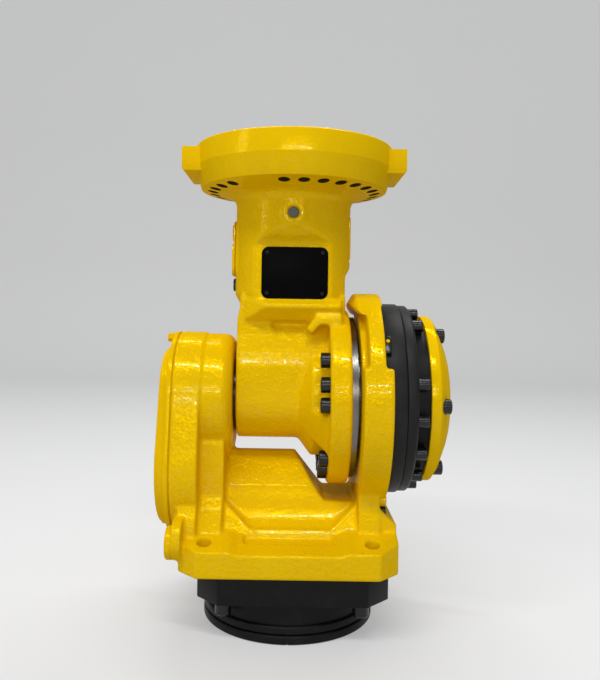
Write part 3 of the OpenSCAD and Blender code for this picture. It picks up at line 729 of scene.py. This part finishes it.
@dataclass
class ToolFlange:
    """Black rings and case at the foot of the wrist."""

    palette: Palette
    screw_radius: float = 7.5 * MM
    screw_height: float = 13.2 * MM
    screw_x: float = 63.0 * MM
    screw_y: float = 69.0 * MM
    screw_off: float = 4.0 * MM
    screw_turn: float = 0.3
    ring_edge: float = 0.6 * MM
    plate_edge: float = 1.2 * MM
    slit_shade_back: float = 6.6 * MM
    slit_shade_size: Pair = (1.5 * MM, 10.8 * MM)
    slit_shade_play: float = 0.2 * MM
    slit_shade_edge: float = 0.3 * MM

    def build(self) -> None:
        """Dresses the rings, the case and the square plate, and hangs screws under the plate."""
        paint_nodes(self.palette.black, ("output_flange", "wrist_case"))
        for node in ("clamp_ring", "seal_ring"):
            ring = edged_skin(node, f"{node}_edged", self.ring_edge)
            dress(ring, self.palette.black, Body.FLANGE, (node,))
        plate = edged_skin("square_plate", "square_plate_edged", self.plate_edge)
        dress(plate, self.palette.black, Body.YOKE, ("square_plate",))
        # A dark strip as painted shade in the split of the clamp ring.
        self.clamp_slit_shade()
        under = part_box("square_plate")[0].z
        screw = Screw(self.screw_radius, self.screw_height)
        for i, (sx, sy) in enumerate(((-1, -1), (1, -1), (1, 1), (-1, 1))):
            seat = Vector((sx * self.screw_x + self.screw_off, sy * self.screw_y, under))
            piece = screw.put(f"plate_screw_{i + 1}", seat, DOWN, self.screw_turn * i)
            dress(piece, self.palette.screw, Body.YOKE)
        screw.discard()

    def clamp_slit_shade(self) -> None:
        """Fills the split of the clamp ring with a dark strip behind its rim, as painted shade for
        the shadow inside the split.
        """
        low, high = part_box("clamp_ring")
        clear_selection()
        middle = Vector((0, low.y + self.slit_shade_back, (low.z + high.z) / 2))
        bpy.ops.mesh.primitive_cube_add(size=1.0, location=middle)
        piece = bpy.context.object
        piece.scale = (*self.slit_shade_size, high.z - low.z - self.slit_shade_play)
        settle(piece, "clamp_slit_shade")
        add_modifier(piece, "BEVEL", width=self.slit_shade_edge, segments=2)
        dress(piece, self.palette.screw, Body.FLANGE)


@dataclass
class Yoke:
    """Yellow yoke casting with its gear cover and round cap."""

    palette: Palette
    voxel: float = 1.05 * MM
    passes: int = 2
    cover_face: float = -116.0 * MM
    pocket_floor: float = -118.0 * MM
    waist_face: float = 83.8 * MM
    waist_y: float = -52.0 * MM
    waist_height: float = 6.5 * MM
    cover_edge: float = 0.4 * MM
    cap_edge: float = 0.6 * MM
    top_screw: Pair = (4.6 * MM, 8.5 * MM)
    top_screw_z: float = 272.0 * MM
    top_screw_turn: float = 0.26
    pocket_screw: Pair = (5.2 * MM, 5.5 * MM)
    pocket_turn: float = 0.4
    pockets: tuple[Pair, ...] = (
        (0.0, 248.5), (-33.5, 215.0), (33.5, 215.0), (-51.5, 150.0), (51.5, 150.0), (0.0, 98.5)
    )

    def build(self) -> None:
        """Makes the cast skin, the gear cover with its screws and the round cap."""
        skin = cast_skin("yoke_casting", "yoke_cast_skin", self.voxel, self.passes)
        dress(skin, self.palette.cast, Body.YOKE, ("yoke_casting",))
        cover = edged_skin("gear_cover", "gear_cover_edged", self.cover_edge)
        dress(cover, self.palette.smooth, Body.YOKE, ("gear_cover",))
        cap = edged_skin("round_cap", "round_cap_edged", self.cap_edge)
        dress(cap, self.palette.smooth, Body.YOKE, ("round_cap",))
        self.cover_screws()
        self.waist_plug()

    def cover_screws(self) -> None:
        """Puts the painted screw on top of the gear cover and the sunk screws in its pockets."""
        screw = Screw(*self.top_screw, Head.HEX)
        top = Vector((self.cover_face, 0, self.top_screw_z))
        piece = screw.put("cover_screw_top", top, LEFT, self.top_screw_turn)
        dress(piece, self.palette.smooth, Body.YOKE)
        screw.discard()
        screw = Screw(*self.pocket_screw)
        for i, (y, z) in enumerate(self.pockets):
            seat = Vector((self.pocket_floor, y * MM, z * MM))
            piece = screw.put(f"cover_screw_{i + 1}", seat, LEFT, self.pocket_turn * i)
            dress(piece, self.palette.smooth, Body.YOKE)
        screw.discard()

    def waist_plug(self) -> None:
        """Puts the small boss and the black plug on the outer face of the waist."""
        for name, radius, z, head, finish, slot in (
            ("waist_boss", 6.0, 124.0, Head.PLAIN, self.palette.smooth, Slot.PAINT),
            ("waist_plug", 5.0, 112.5, Head.SOCKET, self.palette.screw, Slot.BLACK),
        ):
            screw = Screw(radius * MM, self.waist_height, head)
            seat = Vector((self.waist_face, self.waist_y, z * MM))
            dress(screw.put(name, seat, RIGHT), finish, Body.YOKE)
            screw.discard()


@dataclass
class BendReducer:
    """Black reducer on the right, with its screws and yellow end cap."""

    palette: Palette
    flange_screw_radius: float = 5.6 * MM
    flange_screw_height: float = 9.5 * MM
    flange_circle: float = 84.5 * MM
    flange_first: float = 14.0
    flange_count: int = 16
    flange_missing: int = 1
    cap_screw_radius: float = 7.0 * MM
    cap_screw_height: float = 8.0 * MM
    cap_circle: float = 73.0 * MM
    cap_count: int = 6
    cap_seat: float = 10.0 * MM
    flange_turn: float = 0.37
    cap_turn: float = 0.29
    ring_edge: float = 0.5 * MM
    lug_edge: float = 0.6 * MM
    cap_edge: float = 0.9 * MM
    stud_radius: float = 1.9 * MM
    stud_height: float = 0.8 * MM
    lug_angle: float = math.radians(53.0)
    lug_radius: float = 97.9 * MM
    lug_x: float = 87.2 * MM

    def build(self) -> None:
        """Dresses the rings, the lug and the cap, and adds their screws and stud."""
        for node in ("reducer_case", "reducer_flange"):
            ring = edged_skin(node, f"{node}_edged", self.ring_edge)
            dress(ring, self.palette.reducer, Body.YOKE, (node,))
        paint_nodes(self.palette.black, ("cap_retainer",))
        lug = edged_skin("rim_lug", "rim_lug_edged", self.lug_edge)
        dress(lug, self.palette.screw, Body.YOKE, ("rim_lug",))
        cap = edged_skin("end_cap", "end_cap_edged", self.cap_edge)
        dress(cap, self.palette.smooth, Body.YOKE, ("end_cap",))
        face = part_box("reducer_flange")[1].x
        screw = Screw(self.flange_screw_radius, self.flange_screw_height)
        step = 360.0 / self.flange_count
        for i in range(self.flange_count):
            if i == self.flange_missing:
                continue
            seat = on_bend_axis(face, self.flange_circle, self.flange_first + step * i)
            name = f"reducer_screw_{i + 1:02d}"
            piece = screw.put(name, seat, RIGHT, self.flange_turn * i)
            dress(piece, self.palette.screw, Body.YOKE)
        screw.discard()
        out = Vector((0, -math.sin(self.lug_angle), math.cos(self.lug_angle)))
        stud = Screw(self.stud_radius, self.stud_height, Head.HEX)
        seat = Vector((self.lug_x, 0, AXIS_Z)) + out * self.lug_radius
        dress(stud.put("rim_lug_stud", seat, out), self.palette.smooth, Body.YOKE)
        stud.discard()
        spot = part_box("end_cap")[0].x + self.cap_seat
        screw = Screw(self.cap_screw_radius, self.cap_screw_height)
        for i in range(self.cap_count):
            seat = on_bend_axis(spot, self.cap_circle, 360.0 / self.cap_count * i)
            piece = screw.put(f"cap_screw_{i + 1}", seat, RIGHT, self.cap_turn * i)
            dress(piece, self.palette.screw, Body.YOKE)
        screw.discard()


@dataclass
class Trunk:
    """Yellow trunk casting with its mounting flange, plate, plug, covers and screws."""

    palette: Palette
    voxel: float = 1.3 * MM
    passes: int = 2
    screw_radius: float = 7.3 * MM
    screw_height: float = 8.0 * MM
    screw_circle: float = 74.5 * MM
    screw_seat: float = 36.0 * MM
    screw_turn: float = 0.31
    screw_angles: tuple[float, ...] = (-0.3, 14.0, 32.3, -45.0, -61.0, -77.0)
    rim_break: float = 441.0 * MM
    rim_radius: float = 97.5 * MM
    hole_circle: float = 81.0 * MM
    hole_radius: float = 5.5 * MM
    hole_play: float = 0.2 * MM
    hole_slope: float = 0.3
    rim_play: float = 0.3 * MM
    rivet_radius: float = 1.9 * MM
    rivet_height: float = 0.7 * MM
    rivet_inset: float = 5.4 * MM
    rivet_socket: float = 0.35
    cover_edge: float = 0.9 * MM
    plug_edge: float = 0.7 * MM
    plate_edge: float = 0.3 * MM
    flange_edge: float = 0.9 * MM
    fitting: Pair = (6.5 * MM, 1.6 * MM)
    fitting_place: Triple = (-57.3 * MM, 0.0, 326.0 * MM)
    cove_curve: tuple[Pair, ...] = ((58.8, 409.2), (61.6, 414.6), (72.0, 416.4))
    cove_back: tuple[Pair, ...] = ((72.0, 419.0), (58.0, 419.0), (56.5, 409.2))
    cove_steps: int = 6
    cove_sides: int = 128
    cove_crease: float = 40.0

    def build(self) -> None:
        """Makes the cast skins and dresses the fittings."""
        skin = cast_skin("trunk_casting", "trunk_cast_skin", self.voxel, self.passes)
        dress(skin, self.palette.cast, Body.TRUNK, ("trunk_casting",))
        self.arm_flange()
        self.neck_cove()
        for side in ("left", "right"):
            cover = edged_skin(f"side_cover_{side}", f"side_cover_{side}_edged", self.cover_edge)
            dress(cover, self.palette.smooth, Body.TRUNK, (f"side_cover_{side}",))
        paint_nodes(self.palette.steel, ("output_ring",))
        # The journal ring's steel is darkened here as painted shade of its gap.
        paint_nodes(self.palette.gap_shade_steel, ("journal_ring",))
        plug = edged_skin("neck_plug", "neck_plug_edged", self.plug_edge)
        dress(plug, self.palette.plug, Body.TRUNK, ("neck_plug",))
        plate = edged_skin("blank_plate", "blank_plate_edged", self.plate_edge)
        dress(plate, self.palette.plate, Body.TRUNK, ("blank_plate",))
        self.flange_screws()
        self.rivets()
        self.neck_fitting()

    def arm_flange(self) -> None:
        """Makes the mounting flange, with painted shade on the walls of its holes and a sharp break
        in its rim.
        """
        flange = edged_skin("mounting_flange", "mounting_flange_edged", self.flange_edge)
        # Faces of the hole walls take the second material, which is painted shade.
        for face in flange.data.polygons:
            off = abs(face.center.xy.length - self.hole_circle)
            upright = abs(face.normal.z) < self.hole_slope
            face.material_index = int(upright and off < self.hole_radius + self.hole_play)
        for edge in flange.data.edges:
            ends = [flange.data.vertices[i].co for i in edge.vertices]
            at_break = (abs(v.z - self.rim_break) < self.rim_play for v in ends)
            at_rim = (v.xy.length > self.rim_radius for v in ends)
            if all(at_break) and all(at_rim):
                edge.use_edge_sharp = True
        dress(
            flange,
            self.palette.smooth,
            Body.TRUNK,
            ("mounting_flange",),
            self.palette.hole_shade,
        )

    def neck_cove(self) -> None:
        """Runs a hollow cove round the corner between the neck and the mounting flange."""
        start, bend, end = (Vector(point) * MM for point in self.cove_curve)
        steps = [k / self.cove_steps for k in range(self.cove_steps + 1)]
        rings = [start * (1 - t) ** 2 + bend * (2 * t * (1 - t)) + end * t * t for t in steps]
        rings += [Vector(point) * MM for point in self.cove_back]
        clear_selection()
        foot = (0, 0, rings[0].y)
        bpy.ops.mesh.primitive_circle_add(
            vertices=self.cove_sides, radius=rings[0].x, location=foot
        )
        piece = bpy.context.object
        bpy.ops.object.mode_set(mode="EDIT")
        bpy.ops.mesh.select_mode(type="EDGE")
        bpy.ops.mesh.select_all(action="SELECT")
        for last, ring in zip(rings, rings[1:]):
            rise = (0, 0, ring.y - last.y)
            bpy.ops.mesh.extrude_edges_move(TRANSFORM_OT_translate={"value": rise})
            share = ring.x / last.x
            bpy.ops.transform.resize(value=(share, share, 1.0), center_override=(0, 0, ring.y))
        bpy.ops.mesh.select_mode(type="VERT")
        bpy.ops.mesh.select_non_manifold()
        bpy.ops.mesh.bridge_edge_loops()
        bpy.ops.mesh.select_all(action="SELECT")
        bpy.ops.mesh.normals_make_consistent(inside=False)
        settle(piece, "neck_cove")
        smooth_by_angle(piece, self.cove_crease)
        dress(piece, self.palette.cast, Body.TRUNK)

    def neck_fitting(self) -> None:
        """Puts the black plug on the left of the neck."""
        screw = Screw(*self.fitting)
        piece = screw.put("neck_side_plug", Vector(self.fitting_place), LEFT)
        dress(piece, self.palette.screw, Body.TRUNK)
        screw.discard()

    def flange_screws(self) -> None:
        """Puts the screws on the inner face of the trunk flange, in front and behind."""
        screw = Screw(self.screw_radius, self.screw_height)
        places = [place for angle in self.screw_angles for place in (angle, 180.0 - angle)]
        for number, degrees in enumerate(places, start=1):
            seat = on_bend_axis(self.screw_seat, self.screw_circle, degrees)
            name = f"trunk_screw_{number:02d}"
            piece = screw.put(name, seat, LEFT, self.screw_turn * number)
            dress(piece, self.palette.screw, Body.TRUNK)
        screw.discard()

    def rivets(self) -> None:
        """Puts the four rivets of the blank plate."""
        low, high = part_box("blank_plate")
        screw = Screw(self.rivet_radius, self.rivet_height, Head.SOCKET, self.rivet_socket)
        across = (low.x + self.rivet_inset, high.x - self.rivet_inset)
        upward = (low.z + self.rivet_inset, high.z - self.rivet_inset)
        seats = [Vector((x, low.y, z)) for x in across for z in upward]
        for number, seat in enumerate(seats, start=1):
            piece = screw.put(f"plate_rivet_{number}", seat, FRONT)
            dress(piece, self.palette.black, Body.TRUNK)
        screw.discard()


@dataclass(frozen=True)
class Lamp:
    """A soft rectangular lamp."""

    name: str
    place: Triple
    size: Pair
    power: float

    def hang(self, target: Vector) -> None:
        """Adds the lamp to the scene.

        Args:
            target: what it points at.
        """
        data = bpy.data.lights.new(self.name, "AREA")
        data.shape = "RECTANGLE"
        data.size, data.size_y = self.size
        data.energy = self.power
        lamp = bpy.data.objects.new(self.name, data)
        lamp.location = self.place
        aim = target - Vector(self.place)
        lamp.rotation_euler = aim.to_track_quat("-Z", "Y").to_euler()
        bpy.context.scene.collection.objects.link(lamp)


@dataclass
class Studio:
    """Pale floor and backdrop, soft light and the camera at the photo's angle."""

    eye: Triple = (0.0, -0.711, 0.2964)
    middle: Triple = (0.0, 0.0, 0.25)
    focal_pixels: float = 700.0
    long_side: float = 680.0
    shift_pixels: Pair = (8.0, -25.0)
    roll: float = 0.9
    sensor: float = 36.0
    nearest: float = 0.01
    floor_size: float = 6.0
    floor_drop: float = 0.2 * MM
    wall_height: float = 3.0
    sweep_width: float = 0.6
    sweep_steps: int = 12
    air: Colour = (0.93, 0.95, 1.0)
    air_strength: float = 0.39
    lamps: tuple[Lamp, ...] = (
        Lamp("ceiling_front", (-0.25, -0.95, 1.7), (1.5, 0.09), 16.0),
        Lamp("ceiling_back", (0.2, 0.6, 1.9), (1.8, 0.1), 17.0),
        Lamp("ceiling_far", (0.3, -4.5, 1.65), (2.4, 0.08), 18.0),
        Lamp("ceiling_farther", (-0.3, -4.5, 1.1), (2.4, 0.08), 19.0),
        Lamp("fill_left", (-1.5, -0.9, 0.8), (0.3, 0.9), 2.5),
    )

    def build(self) -> None:
        """Sets the stage."""
        self.floor()
        self.lights()
        self.camera()
        bpy.context.scene.view_settings.view_transform = "Standard"

    def floor(self) -> None:
        """Makes the floor with a swept-up backdrop."""
        clear_selection()
        bpy.ops.mesh.primitive_plane_add(size=self.floor_size, location=(0, 0, -self.floor_drop))
        sweep = bpy.context.object
        bpy.ops.object.mode_set(mode="EDIT")
        bpy.ops.mesh.select_mode(type="EDGE")
        bpy.ops.mesh.select_all(action="DESELECT")
        bpy.ops.object.mode_set(mode="OBJECT")
        for edge in sweep.data.edges:
            edge.select = all(sweep.data.vertices[v].co.y > 0.0 for v in edge.vertices)
        bpy.ops.object.mode_set(mode="EDIT")
        rise = (0, 0, self.wall_height)
        bpy.ops.mesh.extrude_region_move(TRANSFORM_OT_translate={"value": rise})
        bpy.ops.object.mode_set(mode="OBJECT")
        add_modifier(
            sweep, "BEVEL", width=self.sweep_width, segments=self.sweep_steps, limit_method="ANGLE"
        )
        settle(sweep, "studio_sweep")
        bpy.ops.object.shade_smooth()
        pale = StageFinish("studio_pale", (0.5, 0.5, 0.497), (0.63, 0.63, 0.627), glow=0.5)
        sweep.data.materials.append(pale.material())

    def lights(self) -> None:
        """Hangs the lamps above, in front and at the left, and sets a pale world."""
        for lamp in self.lamps:
            lamp.hang(Vector(self.middle))
        world = bpy.data.worlds.new("studio_air")
        bpy.context.scene.world = world
        world.use_nodes = True
        back = world.node_tree.nodes["Background"]
        back.inputs["Color"].default_value = (*self.air, 1.0)
        back.inputs["Strength"].default_value = self.air_strength

    def camera(self) -> None:
        """Stands the camera where the photo was taken from."""
        data = bpy.data.cameras.new("photo_camera")
        data.sensor_width = self.sensor
        data.lens = self.focal_pixels * data.sensor_width / self.long_side
        data.shift_x, data.shift_y = (pixels / self.long_side for pixels in self.shift_pixels)
        data.clip_start = self.nearest
        camera = bpy.data.objects.new("photo_camera", data)
        camera.location = self.eye
        level = Matrix.Rotation(math.radians(90.0), 4, "X")
        rolled = level @ Matrix.Rotation(math.radians(self.roll), 4, "Z")
        camera.rotation_euler = rolled.to_euler()
        bpy.context.scene.collection.objects.link(camera)
        bpy.context.scene.camera = camera


def main() -> None:
    """Builds the stage and every sub-assembly."""
    logging.basicConfig(level=logging.INFO, format="%(name)s: %(message)s")
    Studio().build()
    palette = Palette()
    for part in (ToolFlange(palette), Yoke(palette), BendReducer(palette), Trunk(palette)):
        part.build()
    clear_selection()


if __name__ == "__main__":
    main()
